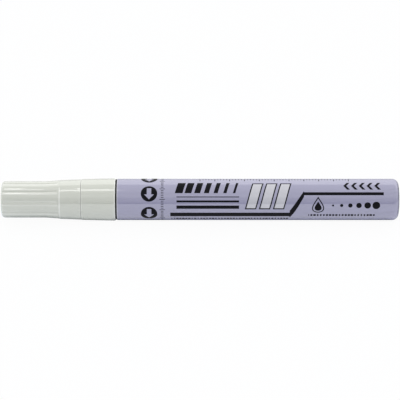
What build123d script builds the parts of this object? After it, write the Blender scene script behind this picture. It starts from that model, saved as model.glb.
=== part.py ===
from build123d import *
import math
import os

# Paint marker: an aluminium barrel of paint with a screw cap, a spring valve behind the nib and a mixing ball.
# Every piece is drawn about an upright axis, with the tail at zero and the cap on top, and is then laid down:
# the tail points to +X, the cap to -X, and the marker lies on Z = 0 with its middle over the origin.
# All lengths are in millimetres.

# Fits that several pieces share
OVERRUN = 0.5
PRESS_CLEARANCE = 0.05
SLIDE_CLEARANCE = 0.15
STOP_CLEARANCE = 0.2

# Barrel: drawn aluminium can, open at the front
BARREL_DIAMETER = 14.0
BARREL_LENGTH = 95.0
BARREL_WALL = 0.45
BARREL_END_WALL = 0.7
BARREL_TAIL_RADIUS = 2.0
BARREL_RIM_RADIUS = 0.2

# Gasket: flat ring between the barrel's mouth and the collar
GASKET_THICKNESS = 0.5
GASKET_RECESS = 0.2

# Collar: front housing with a plug behind and a neck in front
COLLAR_LENGTH = 11.5
COLLAR_BAND_LENGTH = 1.5
COLLAR_PROUD = 0.15
COLLAR_TAPER = 0.23
COLLAR_EDGE_RADIUS = 0.3
PLUG_LENGTH = 8.5
PLUG_WALL = 1.2
PLUG_LEAD_IN = 0.4
POCKET_ROOF = 1.2
CHAMBER_DIAMETER = 5.6
CHAMBER_WALL = 1.2
NECK_LENGTH = 7.45
NECK_WALL_SHARE = 0.43
NECK_LEAD_IN = 0.4

# Screw thread: ridges on the neck and in the cap
THREAD_STARTS = 3
THREAD_PITCH = 2.0
THREAD_HEIGHT = 0.5
THREAD_BASE_WIDTH = 0.9
THREAD_CREST_WIDTH = 0.4
THREAD_ROOT_CLEARANCE = 0.3
THREAD_CREST_CLEARANCE = 0.15
THREAD_SINK = 0.2
THREAD_END_MARGIN = 0.5

# Cap: skirt, flared step and fluted grip
CAP_SEAM = 0.15
CAP_RIM_STEP = 0.08
CAP_LENGTH = 26.85
CAP_END_WALL = 1.4
CAP_END_RADIUS = 1.2
SKIRT_LENGTH = 7.1
SKIRT_TAPER = 0.26
SKIRT_WALL = 0.83
SKIRT_STEP = 0.06
FLARE_LENGTH = 5.2
FLARE_RISE = 0.32
GRIP_WALL = 1.07
FLUTE_COUNT = 10
FLUTE_WIDTH = 1.0
FLUTE_DEPTH = 0.33
FLUTE_REACH = 2.8
FLUTE_RUNOUT = 0.6
FLUTE_PHASE_DEGREES = 32.5

# Inner cap: slip liner that a bead holds in the cap
LINER_WALL = 0.7
LINER_END_WALL = 0.8
LINER_BEAD_HEIGHT = 0.3
LINER_BEAD_WIDTH = 0.8
LINER_BEAD_PLACE = 3.0

# Nib holder: nose pressed into the neck
NOSE_PLUG_LENGTH = 11.0
NOSE_FLANGE_THICKNESS = 1.0
NOSE_SEAL_LENGTH = 4.0
NOSE_TIP_WALL = 0.45
VENT_COUNT = 4
VENT_WIDTH = 0.6
VENT_DEPTH = 0.4

# Nib: pressed fibre rod with a bullet point
NIB_DIAMETER = 4.0
NIB_EXPOSED = 5.0
NIB_POINT_LENGTH = 3.0
NIB_POINT_DIAMETER = 2.2
NIB_POINT_ROUND = 1.0
NIB_TAIL_LENGTH = 2.0
NIB_TIP_CLEARANCE = 1.35
NIB_TRAVEL = 2.0

# Valve: washer, cage, rod, spring and retainer
SEAT_THICKNESS = 1.2
STEM_DIAMETER = 2.0
STEM_FLOW_GAP = 0.4
STEM_GUIDE_LENGTH = 0.8
POPPET_LAND = 0.7
POPPET_THICKNESS = 1.4
FIN_COUNT = 4
FIN_THICKNESS = 0.6
FIN_LENGTH = 5.0
CASE_FLOW_GAP = 0.6
CASE_WALL = 0.6
CASE_FLANGE_THICKNESS = 1.2
WINDOW_COUNT = 3
WINDOW_WIDTH = 1.6
WINDOW_LENGTH = 6.0
SPRING_LENGTH = 11.0
SPRING_WIRE = 0.4
SPRING_STEM_GAP = 0.45
SPRING_TURNS = 9
RETAINER_PLUG_LENGTH = 3.6
RETAINER_FLANGE_THICKNESS = 0.8

# Mixing ball: loose in the barrel, at rest by the tail
BALL_DIAMETER = 6.5
BALL_TAIL_GAP = 1.3

# Radii from the barrel inward to the plug
barrel_radius = BARREL_DIAMETER / 2
barrel_bore = barrel_radius - BARREL_WALL
plug_radius = barrel_bore - PRESS_CLEARANCE
plug_bore = plug_radius - PLUG_WALL

# Radii from the collar over the cap down to the nose
collar_rear_radius = barrel_radius + COLLAR_PROUD
collar_front_radius = collar_rear_radius - COLLAR_TAPER
rim_radius = collar_front_radius - CAP_RIM_STEP
shoulder_radius = rim_radius - SKIRT_TAPER
flare_radius = shoulder_radius - SKIRT_STEP
grip_radius = flare_radius - FLARE_RISE
thread_bore = shoulder_radius - SKIRT_WALL
neck_crest_radius = thread_bore - THREAD_ROOT_CLEARANCE
neck_radius = neck_crest_radius - THREAD_HEIGHT
cap_crest_radius = neck_radius + THREAD_CREST_CLEARANCE
cap_bore = grip_radius - FLUTE_DEPTH - GRIP_WALL
liner_radius = cap_bore - SLIDE_CLEARANCE
liner_bore = liner_radius - LINER_WALL
seal_radius = liner_bore - PRESS_CLEARANCE

# Radii from the nib and the stem outward
nib_radius = NIB_DIAMETER / 2
nib_bore = nib_radius + PRESS_CLEARANCE
nose_tip_radius = nib_bore + NOSE_TIP_WALL
socket_bore = neck_radius - NECK_WALL_SHARE * (neck_radius - nib_bore)
nose_plug_radius = socket_bore - PRESS_CLEARANCE
chamber_radius = CHAMBER_DIAMETER / 2
chamber_tube_radius = chamber_radius + CHAMBER_WALL
stem_radius = STEM_DIAMETER / 2
seat_bore = stem_radius + STEM_FLOW_GAP
poppet_radius = seat_bore + POPPET_LAND
case_bore = poppet_radius + CASE_FLOW_GAP
case_radius = case_bore + CASE_WALL
case_flange_radius = plug_bore - PRESS_CLEARANCE
spring_radius = stem_radius + SPRING_STEM_GAP + SPRING_WIRE / 2
ball_radius = BALL_DIAMETER / 2

# Stations along the axis, from the tail to the end of the cap
collar_rear = BARREL_LENGTH + GASKET_THICKNESS
collar_front = collar_rear + COLLAR_LENGTH
neck_front = collar_front + NECK_LENGTH
rim = collar_front + CAP_SEAM
skirt_top = rim + SKIRT_LENGTH
flare_top = skirt_top + FLARE_LENGTH
cap_end = rim + CAP_LENGTH
liner_end = cap_end - CAP_END_WALL - STOP_CLEARANCE
nose_plug_bottom = neck_front - NOSE_PLUG_LENGTH
nose_flange_top = neck_front + NOSE_FLANGE_THICKNESS
nose_seal_top = nose_flange_top + NOSE_SEAL_LENGTH
liner_mouth = nose_flange_top + STOP_CLEARANCE
nib_tip = liner_end - LINER_END_WALL - NIB_TIP_CLEARANCE
nose_tip = nib_tip - NIB_EXPOSED
nib_tail = nose_plug_bottom - NIB_TAIL_LENGTH
plug_bottom = collar_rear - PLUG_LENGTH
seat_bottom = plug_bottom + CASE_FLANGE_THICKNESS
seat_top = seat_bottom + SEAT_THICKNESS
socket_bottom = nose_plug_bottom - STOP_CLEARANCE
pocket_top = socket_bottom - POCKET_ROOF
poppet_bottom = seat_bottom - POPPET_THICKNESS
retainer_top = poppet_bottom - SPRING_LENGTH
case_bottom = retainer_top - RETAINER_PLUG_LENGTH
retainer_bottom = case_bottom - RETAINER_FLANGE_THICKNESS


def turned(outline, rounds=()):
    """Solid turned about the axis from an outline of (radius, height) points.

    Each entry of rounds is a corner of the outline with the radius that rounds it.
    """
    face = make_face(Polyline(*outline, close=True))
    for corner, radius in rounds:
        nearest = face.vertices().sort_by_distance((*corner, 0))[0]
        face = fillet(nearest, radius)
    return revolve(Plane.XZ * face, Axis.Z)


def around(tool, count, first_degrees=0.0):
    """Copies of a tool, evenly spaced about the axis."""
    step = 360 / count
    return [Rot(0, 0, first_degrees + step * number) * tool for number in range(count)]


def thread_ridges(root_radius, crest_radius, start, run):
    """Helical ridges, one for each start, whose flanks run straight from the crest into the wall."""
    buried_radius = root_radius + math.copysign(THREAD_SINK, root_radius - crest_radius)
    flank = (THREAD_BASE_WIDTH - THREAD_CREST_WIDTH) / 2
    crest = THREAD_CREST_WIDTH / 2
    foot = crest + flank * (buried_radius - crest_radius) / (root_radius - crest_radius)
    section = Polyline(
        (buried_radius, start - foot),
        (crest_radius, start - crest),
        (crest_radius, start + crest),
        (buried_radius, start + foot),
        close=True,
    )
    path = Helix(THREAD_PITCH * THREAD_STARTS, run, root_radius, center=(0, 0, start))
    ridge = sweep(Plane.XZ * make_face(section), path=path, is_frenet=True)
    return around(ridge, THREAD_STARTS)


def coil_path(radius, start, height, turns):
    """Path of a coil: a helix as one pair of tangent arcs for each half turn.

    The two arcs of a pair meet at the middle of the points that lie one equal step along both end tangents.
    """
    slope = height / (2 * math.pi * turns)
    speed = math.hypot(radius, slope)

    def place(angle):
        return Vector(radius * math.cos(angle), radius * math.sin(angle), start + slope * angle)

    def heading(angle):
        return Vector(-radius * math.sin(angle), radius * math.cos(angle), slope) / speed

    arcs = []
    for half_turn in range(2 * turns):
        first, last = math.pi * half_turn, math.pi * (half_turn + 1)
        span = place(last) - place(first)
        turn = heading(first) + heading(last)
        square = 4 - turn.dot(turn)
        straight = span.dot(turn)
        step = (math.sqrt(straight**2 + square * span.dot(span)) - straight) / square
        before = place(first) + heading(first) * step
        after = place(last) - heading(last) * step
        middle = (before + after) / 2
        arcs.append(TangentArc(place(first), middle, tangent=heading(first)))
        arcs.append(TangentArc(middle, place(last), tangent=after - before))
    return Wire(arcs)


def make_barrel():
    """Drawn can with a rounded tail and a softened mouth."""
    outline = [
        (0, 0),
        (barrel_radius, 0),
        (barrel_radius, BARREL_LENGTH),
        (barrel_bore, BARREL_LENGTH),
        (barrel_bore, BARREL_END_WALL),
        (0, BARREL_END_WALL),
    ]
    rounds = [
        (outline[1], BARREL_TAIL_RADIUS),
        (outline[2], BARREL_RIM_RADIUS),
        (outline[4], BARREL_TAIL_RADIUS - BARREL_WALL),
    ]
    return turned(outline, rounds)


def make_barrel_gasket():
    """Flat ring round the plug, a little below the barrel's surface."""
    outer = barrel_radius - GASKET_RECESS
    inner = plug_radius + PRESS_CLEARANCE
    return turned([
        (inner, BARREL_LENGTH),
        (outer, BARREL_LENGTH),
        (outer, collar_rear),
        (inner, collar_rear),
    ])


def make_collar():
    """Front housing: plug, visible collar and threaded neck, with a chamber tube cored free from the plug."""
    outline = [
        (plug_bore, plug_bottom),
        (plug_radius - PLUG_LEAD_IN, plug_bottom),
        (plug_radius, plug_bottom + PLUG_LEAD_IN),
        (plug_radius, collar_rear),
        (collar_rear_radius, collar_rear),
        (collar_rear_radius, collar_rear + COLLAR_BAND_LENGTH),
        (collar_front_radius, collar_front),
        (neck_radius, collar_front),
        (neck_radius, neck_front - NECK_LEAD_IN),
        (neck_radius - NECK_LEAD_IN, neck_front),
        (socket_bore, neck_front),
        (socket_bore, socket_bottom),
        (chamber_radius, socket_bottom),
        (chamber_radius, seat_top),
        (chamber_tube_radius, seat_top),
        (chamber_tube_radius, pocket_top),
        (plug_bore, pocket_top),
    ]
    rounds = [(outline[4], COLLAR_EDGE_RADIUS), (outline[6], COLLAR_EDGE_RADIUS)]
    return turned(outline, rounds) + thread_ridges(neck_radius, neck_crest_radius, *neck_thread())


def neck_thread():
    """Start and run of the neck's ridges, which stay clear of both ends of the neck."""
    end = THREAD_END_MARGIN + THREAD_BASE_WIDTH / 2
    return collar_front + end, NECK_LENGTH - 2 * end


def make_cap_shell():
    """Screw cap: plain skirt, flared step, fluted grip, liner groove and inside thread."""
    groove_bore = liner_radius + LINER_BEAD_HEIGHT + SLIDE_CLEARANCE
    groove_bottom = liner_mouth + LINER_BEAD_PLACE - STOP_CLEARANCE
    groove_top = liner_mouth + LINER_BEAD_PLACE + LINER_BEAD_WIDTH + STOP_CLEARANCE
    outline = [
        (thread_bore, rim),
        (rim_radius, rim),
        (shoulder_radius, skirt_top),
        (flare_radius, skirt_top),
        (grip_radius, flare_top),
        (grip_radius, cap_end),
        (0, cap_end),
        (0, cap_end - CAP_END_WALL),
        (cap_bore, cap_end - CAP_END_WALL),
        (cap_bore, groove_top),
        (groove_bore, groove_top),
        (groove_bore, groove_bottom),
        (cap_bore, groove_bottom),
        (cap_bore, liner_mouth),
        (thread_bore, liner_mouth),
    ]
    body = turned(outline, [(outline[5], CAP_END_RADIUS)])
    start, run = neck_thread()
    ridges = thread_ridges(thread_bore, cap_crest_radius, start + THREAD_PITCH / 2, run)
    return body - flute_tools() + ridges


def flute_tools():
    """Notch tools for the grip: straight along the grip, up the flare at one depth, then out of it."""
    tip = grip_radius - FLUTE_DEPTH
    reach = FLUTE_DEPTH + OVERRUN
    half_width = FLUTE_WIDTH / 2 * reach / FLUTE_DEPTH
    flare_slope = FLARE_RISE / FLARE_LENGTH
    risen_tip = tip + flare_slope * FLUTE_REACH
    end_radius = grip_radius + flare_slope * (FLUTE_REACH + FLUTE_RUNOUT)
    reach_height = flare_top - FLUTE_REACH
    end_height = reach_height - FLUTE_RUNOUT

    def notch(radius, height):
        corners = Polyline((radius, 0), (radius + reach, -half_width), (radius + reach, half_width), close=True)
        return Pos(0, 0, height) * make_face(corners)

    straight = extrude(notch(tip, flare_top), cap_end + OVERRUN - flare_top, dir=(0, 0, 1))
    rising = loft([notch(risen_tip, reach_height), notch(tip, flare_top)], ruled=True)
    runout = loft([notch(end_radius, end_height), notch(risen_tip, reach_height)], ruled=True)
    return around(straight + rising + runout, FLUTE_COUNT, FLUTE_PHASE_DEGREES)


def make_inner_cap():
    """Thin cup that seals on the nose, with the bead that holds it in the cap."""
    bead_radius = liner_radius + LINER_BEAD_HEIGHT
    bead_bottom = liner_mouth + LINER_BEAD_PLACE
    bead_top = bead_bottom + LINER_BEAD_WIDTH
    return turned([
        (liner_bore, liner_mouth),
        (liner_radius, liner_mouth),
        (liner_radius, bead_bottom),
        (bead_radius, bead_bottom),
        (bead_radius, bead_top),
        (liner_radius, bead_top),
        (liner_radius, liner_end),
        (0, liner_end),
        (0, liner_end - LINER_END_WALL),
        (liner_bore, liner_end - LINER_END_WALL),
    ])


def make_nib_holder():
    """Nose: plug in the neck, flange, seal cylinder and cone, with vents beside the nib."""
    body = turned([
        (nib_bore, nose_plug_bottom),
        (nose_plug_radius, nose_plug_bottom),
        (nose_plug_radius, neck_front),
        (liner_radius, neck_front),
        (liner_radius, nose_flange_top),
        (seal_radius, nose_flange_top),
        (seal_radius, nose_seal_top),
        (nose_tip_radius, nose_tip),
        (nib_bore, nose_tip),
    ])
    vent_reach = nib_bore + VENT_DEPTH
    vent_bottom = nose_plug_bottom - OVERRUN
    vent = Pos(0, 0, vent_bottom) * Box(
        vent_reach,
        VENT_WIDTH,
        nose_seal_top - vent_bottom,
        align=(Align.MIN, Align.CENTER, Align.MIN),
    )
    return body - around(vent, VENT_COUNT)


def make_nib():
    """Fibre rod with a bullet point."""
    shoulder = (nib_radius, nib_tip - NIB_POINT_LENGTH)
    point = (NIB_POINT_DIAMETER / 2, nib_tip)
    outline = [(0, nib_tail), (nib_radius, nib_tail), shoulder, point, (0, nib_tip)]
    return turned(outline, [(shoulder, nib_radius), (point, NIB_POINT_ROUND)])


def make_valve_seat():
    """Rubber washer between the chamber tube and the cage's flange."""
    return turned([
        (seat_bore, seat_bottom),
        (chamber_tube_radius, seat_bottom),
        (chamber_tube_radius, seat_top),
        (seat_bore, seat_top),
    ])


def make_valve_case():
    """Cage: flange in the plug's mouth and a tube with paint windows."""
    body = turned([
        (case_bore, case_bottom),
        (case_radius, case_bottom),
        (case_radius, plug_bottom),
        (case_flange_radius, plug_bottom),
        (case_flange_radius, seat_bottom),
        (case_bore, seat_bottom),
    ])
    window = Pos(0, 0, (retainer_top + plug_bottom) / 2) * Box(
        case_radius + OVERRUN,
        WINDOW_WIDTH,
        WINDOW_LENGTH,
        align=(Align.MIN, Align.CENTER, Align.CENTER),
    )
    return body - around(window, WINDOW_COUNT)


def make_valve_rod():
    """Poppet on a stem, from the retainer's guide to the nib, with fins that steady it in the chamber."""
    body = turned([
        (0, retainer_top - STEM_GUIDE_LENGTH),
        (stem_radius, retainer_top - STEM_GUIDE_LENGTH),
        (stem_radius, poppet_bottom),
        (poppet_radius, poppet_bottom),
        (poppet_radius, seat_bottom),
        (stem_radius, seat_bottom),
        (stem_radius, nib_tail),
        (0, nib_tail),
    ])
    fin_bottom = seat_top + NIB_TRAVEL + STOP_CLEARANCE
    fin = Pos(0, 0, fin_bottom) * Box(
        chamber_radius - SLIDE_CLEARANCE,
        FIN_THICKNESS,
        FIN_LENGTH,
        align=(Align.MIN, Align.CENTER, Align.MIN),
    )
    return body + around(fin, FIN_COUNT)


def make_valve_spring():
    """Open coil between the retainer and the poppet."""
    end = SPRING_WIRE / 2 + PRESS_CLEARANCE
    path = coil_path(spring_radius, retainer_top + end, SPRING_LENGTH - 2 * end, SPRING_TURNS)
    section = Plane(origin=path @ 0, z_dir=path % 0) * Circle(SPRING_WIRE / 2)
    return sweep(section, path=path)


def make_spring_retainer():
    """Flanged plug in the end of the cage, bored to guide the stem."""
    guide_bore = stem_radius + SLIDE_CLEARANCE
    plug = case_bore - PRESS_CLEARANCE
    return turned([
        (guide_bore, retainer_bottom),
        (case_radius, retainer_bottom),
        (case_radius, case_bottom),
        (plug, case_bottom),
        (plug, retainer_top),
        (guide_bore, retainer_top),
    ])


def make_mixing_ball():
    """Steel ball on the lower side of the lying barrel, just off the tail wall."""
    height = BARREL_END_WALL + BALL_TAIL_GAP + ball_radius
    drop = barrel_bore - PRESS_CLEARANCE - ball_radius
    return Pos(-drop, 0, height) * Sphere(ball_radius)


def laid_down(solid):
    """The upright piece turned onto its side, tail to +X and the drawing's +X side up."""
    return Pos(cap_end / 2, 0, collar_rear_radius) * Rot(0, -90, 0) * solid


pieces = {
    "barrel": make_barrel(),
    "barrel_gasket": make_barrel_gasket(),
    "collar": make_collar(),
    "cap_shell": make_cap_shell(),
    "inner_cap": make_inner_cap(),
    "nib_holder": make_nib_holder(),
    "nib": make_nib(),
    "valve_seat": make_valve_seat(),
    "valve_case": make_valve_case(),
    "valve_rod": make_valve_rod(),
    "valve_spring": make_valve_spring(),
    "spring_retainer": make_spring_retainer(),
    "mixing_ball": make_mixing_ball(),
}

os.makedirs("parts", exist_ok=True)
for name, solid in pieces.items():
    placed = laid_down(solid)
    placed.label = name
    export_step(placed, f"parts/{name}.step")
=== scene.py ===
import math

import bpy
import numpy as np
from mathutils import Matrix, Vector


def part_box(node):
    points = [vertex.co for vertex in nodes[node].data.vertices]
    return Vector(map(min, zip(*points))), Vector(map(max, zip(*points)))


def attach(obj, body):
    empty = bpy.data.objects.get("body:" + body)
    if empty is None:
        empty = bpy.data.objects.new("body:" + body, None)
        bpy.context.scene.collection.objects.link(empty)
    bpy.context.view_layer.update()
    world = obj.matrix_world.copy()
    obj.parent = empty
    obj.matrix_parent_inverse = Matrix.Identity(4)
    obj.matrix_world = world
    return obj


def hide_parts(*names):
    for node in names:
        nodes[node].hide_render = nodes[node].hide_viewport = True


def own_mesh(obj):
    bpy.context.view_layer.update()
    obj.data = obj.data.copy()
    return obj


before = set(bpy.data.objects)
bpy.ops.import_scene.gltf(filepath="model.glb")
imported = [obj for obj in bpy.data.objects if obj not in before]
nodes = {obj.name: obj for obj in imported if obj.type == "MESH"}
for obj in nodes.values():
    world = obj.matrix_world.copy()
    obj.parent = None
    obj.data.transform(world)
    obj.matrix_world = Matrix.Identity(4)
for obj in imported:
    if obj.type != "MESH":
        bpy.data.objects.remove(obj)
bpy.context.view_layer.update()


# Barrel: a can drawn from aluminium sheet, closed and rounded at the tail, open at the front.
# It is lacquered a pale lavender grey and printed over the lacquer in matt black.
# The mouth is pressed over the collar's plug, and the inside is left bare.
barrel_low, barrel_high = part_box("barrel")
AXIS_HEIGHT = (barrel_low.z + barrel_high.z) / 2
BARREL_RADIUS = (barrel_high.z - barrel_low.z) / 2
BARREL_WALL = 0.45e-3
BARREL_END_WALL = 0.7e-3
TAIL_ROUND = 2.0e-3
MOUTH_ROUND = 0.2e-3
BARREL_SIDES = 256
EDGE_SPACING = 0.08e-3
EDGE_SHARE = 0.2
ON_AXIS = 1e-9
SHARP_ANGLE = math.radians(32)


def rounded(corners, steps=8, longest=4e-3):
    """Points of an outline of (x, radius, round) corners.

    A corner with a round becomes an arc that is tangent to both its sides: its centre lies on the line
    that halves the corner, the round's length divided by the sine of half the corner away from it.
    Long sides are divided evenly, with one point close to each end, which keeps the shading of the arcs.
    """
    spots = np.array([corner[:2] for corner in corners], float)
    rounds = [corner[2] if len(corner) > 2 else 0 for corner in corners]
    stretches = []
    for number, (spot, size) in enumerate(zip(spots, rounds)):
        if not size:
            stretches.append(spot[None])
            continue
        back = spots[number - 1] - spot
        ahead = spots[(number + 1) % len(spots)] - spot
        back, ahead = back / np.hypot(*back), ahead / np.hypot(*ahead)
        half = math.acos(back @ ahead) / 2
        middle = (back + ahead) / np.hypot(*(back + ahead))
        centre = spot + middle * size / math.sin(half)
        first = spot + back * size / math.tan(half) - centre
        last = spot + ahead * size / math.tan(half) - centre
        sweep = math.pi - 2 * half
        share = np.linspace(0, 1, steps + 1)[:, None]
        arc = (np.sin((1 - share) * sweep) * first + np.sin(share * sweep) * last) / math.sin(sweep)
        stretches.append(centre + arc)
    points = [stretches[0]]
    for before, after in zip(stretches, stretches[1:]):
        points.append(divided(before[-1], after[0], longest))
        points.append(after)
    return np.concatenate(points)


def divided(start, end, longest):
    """Points strictly between two ends: one near each end, and even ones no further apart than longest."""
    length = np.hypot(*(end - start))
    near = min(EDGE_SPACING / length, EDGE_SHARE) if length else EDGE_SHARE
    count = max(1, math.ceil(length / longest))
    share = np.linspace(near, 1 - near, count + 1)[:, None]
    return start + (end - start) * share


def turned_piece(name, along, radius, angles, ring=False, weights=1.0):
    """An object turned about the marker's axis.

    The point in row i and column j lies along[i] down the axis, radius[i, j] from it and angles[j] round it,
    counted from straight up towards the back. A row on the axis is one point, and a ring's last row meets
    its first. Its map for baking runs along the rows by their length times weights, and round the columns.
    """
    radius = np.broadcast_to(radius, (len(along), len(angles)))
    along = np.broadcast_to(np.reshape(along, (len(along), -1)), radius.shape)
    points = np.stack([along, radius * np.sin(angles), AXIS_HEIGHT + radius * np.cos(angles)], axis=-1)
    rows, columns = radius.shape
    index = np.arange(rows * columns).reshape(rows, columns)
    on_axis = radius.max(axis=1) < ON_AXIS
    index[on_axis] = index[on_axis, :1]
    if ring:
        index = np.concatenate([index, index[:1]])
        points = np.concatenate([points, points[:1]])
        on_axis = np.append(on_axis, on_axis[0])
    index = np.concatenate([index, index[:, :1]], axis=1)
    steps = np.linalg.norm(np.diff(points[:, 0], axis=0), axis=1) * weights
    bake = np.append(0, np.cumsum(steps)) / steps.sum()
    spots = np.stack(np.broadcast_arrays(bake[:, None], np.linspace(0, 1, columns + 1)), axis=-1)

    def corners(grid):
        return np.stack([grid[:-1, :-1], grid[1:, :-1], grid[1:, 1:], grid[:-1, 1:]], axis=2)

    faces, maps = corners(index), corners(spots)
    plain = ~(on_axis[:-1] | on_axis[1:])
    kept = [(faces[plain].reshape(-1, 4), maps[plain].reshape(-1, 4, 2))]
    for pole, order in ((on_axis[:-1], [0, 1, 2]), (on_axis[1:], [0, 1, 3])):
        kept.append((faces[pole][..., order].reshape(-1, 3), maps[pole][..., order, :].reshape(-1, 3, 2)))
    used, compact = np.unique(np.concatenate([part.ravel() for part, _ in kept]), return_inverse=True)
    vertices = points[:rows].reshape(-1, 3)[used]
    quads = compact[: kept[0][0].size].reshape(-1, 4)
    a, b, c = (vertices[quads[:, corner]] - vertices.mean(axis=0) for corner in (0, 1, 2))
    turn = 1 if np.einsum("ij,ij->", a, np.cross(b, c)) > 0 else -1
    all_faces, all_maps, taken = [], [], 0
    for part, part_map in kept:
        all_faces += compact[taken:taken + part.size].reshape(part.shape)[:, ::turn].tolist()
        all_maps.append(part_map[:, ::turn].reshape(-1, 2))
        taken += part.size
    mesh = bpy.data.meshes.new(name)
    mesh.from_pydata(vertices, [], all_faces)
    bake_map = mesh.uv_layers.new(name="OFBake")
    bake_map.data.foreach_set("uv", np.concatenate(all_maps).astype(np.float32).ravel())
    mesh.shade_smooth()
    mesh.set_sharp_from_angle(angle=SHARP_ANGLE)
    piece = bpy.data.objects.new(name, mesh)
    bpy.context.scene.collection.objects.link(piece)
    return piece


def even_angles(count):
    """Angles round the axis, evenly spaced from the side that the marker lies on."""
    return np.linspace(-math.pi, math.pi, count, endpoint=False)


class Field:
    """A value that changes over a surface: arithmetic on it adds Math nodes to its shader."""

    def __init__(self, tree, socket=None):
        self.tree, self.socket = tree, socket

    def node(self, kind, settings=None, inputs=None, output=0):
        """Adds a node of any kind, with its settings first and then its sockets' values or links."""
        made = self.tree.nodes.new("ShaderNode" + kind)
        for setting, value in (settings or {}).items():
            if setting == "stops":
                for _ in range(len(value) - len(made.color_ramp.elements)):
                    made.color_ramp.elements.new(0.5)
                for element, (position, shade) in zip(made.color_ramp.elements, value):
                    element.position, element.color = position, (shade, shade, shade, 1)
            else:
                setattr(made, setting, value)
        for name, value in (inputs or {}).items():
            self.feed(made.inputs[name], value)
        return Field(self.tree, made.outputs[output])

    def feed(self, socket, value):
        """Links a field to a socket, or writes a number or colour into it."""
        if isinstance(value, Field):
            self.tree.links.new(value.socket, socket)
        elif isinstance(value, tuple) and len(value) == 3 and socket.type == "RGBA":
            socket.default_value = (*value, 1)
        else:
            socket.default_value = value

    def math(self, operation, *values, clamp=False):
        """A Math node of that operation on the values."""
        settings = {"operation": operation, "use_clamp": clamp}
        return self.node("Math", settings, dict(enumerate(values)))

    def __add__(self, other):
        return self.math("ADD", self, other)

    def __sub__(self, other):
        return self.math("SUBTRACT", self, other)

    def __mul__(self, other):
        return self.math("MULTIPLY", self, other)

    def __truediv__(self, other):
        return self.math("DIVIDE", self, other)

    def __rsub__(self, other):
        return self.math("SUBTRACT", other, self)

    def __rtruediv__(self, other):
        return self.math("DIVIDE", other, self)

    def __pow__(self, other):
        return self.math("POWER", self, other)

    def __neg__(self):
        return self * -1

    def __abs__(self):
        return self.math("ABSOLUTE", self)

    def __or__(self, other):
        """The larger of two: where masks are joined."""
        return self.math("MAXIMUM", self, other)

    def __and__(self, other):
        """The smaller of two: where masks overlap."""
        return self.math("MINIMUM", self, other)

    __radd__, __rmul__ = __add__, __mul__

    def floor(self):
        """The whole number at or below this value."""
        return self.math("FLOOR", self)

    def inside(self, soft=0.03):
        """One where a distance is below zero, with an edge that is soft wide."""
        return self.math("SUBTRACT", 0.5, self * (1 / soft), clamp=True)

    def ramp(self, low, high):
        """A straight rise from 0 at low to 1 at high."""
        return self.math("MULTIPLY", self - low, 1 / (high - low), clamp=True)

    def between(self, low, high):
        """A value that goes from low to high as this field goes from 0 to 1."""
        return self * (high - low) + low

    def tint(self, first, second):
        """A colour that goes from the first to the second as this field goes from 0 to 1.

        A Mix node has sockets for each type of data: those for colours are 6 and 7, and come out at 2.
        """
        return self.node("Mix", {"data_type": "RGBA"}, {0: self, 6: first, 7: second}, output=2)

    def noise(self, scale, detail=2.0, rough=0.5):
        """Cloudy noise of about 0 to 1 over a place, with so many features a millimetre."""
        inputs = {"Vector": self, "Scale": scale, "Detail": detail, "Roughness": rough}
        return self.node("TexNoise", None, inputs)

    def split(self):
        """The three parts of a vector."""
        return [self.node("SeparateXYZ", None, {0: self}, output=part) for part in range(3)]

    def stretched(self, factors):
        """A place with each of its axes scaled, for a grain."""
        return self.node("VectorMath", {"operation": "MULTIPLY"}, {0: self, 1: factors})


MM = 1000


def new_finish(name):
    """A material, its shader and the place on the piece in millimetres."""
    material = bpy.data.materials.new(name)
    material.use_nodes = True
    shader = material.node_tree.nodes["Principled BSDF"]
    place = Field(material.node_tree).node("TexCoord", output="Object").stretched((MM, MM, MM))
    return material, shader, place


def finish_with(shader, place, bump=None, bump_height=0.0, **sockets):
    """Sets the shader's sockets by name, and its normal from a bump whose height is in millimetres."""
    for name, value in sockets.items():
        place.feed(shader.inputs[name.replace("_", " ")], value)
    if bump is not None:
        inputs = {"Height": bump, "Strength": 1.0, "Distance": bump_height / MM}
        place.feed(shader.inputs["Normal"], place.node("Bump", None, inputs))


def dressed(piece, material, slot, body, *replaced):
    """Gives a new piece its finish, its body and the nodes that it stands for. Its slot in the record is not
    used.
    """
    piece.data.materials.append(material)
    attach(piece, body)
    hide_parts(*replaced)


barrel_bore = BARREL_RADIUS - BARREL_WALL
barrel_floor = barrel_high.x - BARREL_END_WALL
barrel_outline = rounded([
    (barrel_high.x, 0),
    (barrel_high.x, BARREL_RADIUS, TAIL_ROUND),
    (barrel_low.x, BARREL_RADIUS, MOUTH_ROUND),
    (barrel_low.x, barrel_bore),
    (barrel_floor, barrel_bore, TAIL_ROUND - BARREL_WALL),
    (barrel_floor, 0),
])
INSIDE_WEIGHT = 0.1
past_mouth = np.arange(len(barrel_outline) - 1) >= np.argmin(barrel_outline[:, 0])
barrel = turned_piece(
    "barrel_can",
    barrel_outline[:, 0],
    barrel_outline[:, 1:],
    even_angles(BARREL_SIDES),
    weights=np.where(past_mouth, INSIDE_WEIGHT, 1),
)

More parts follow.
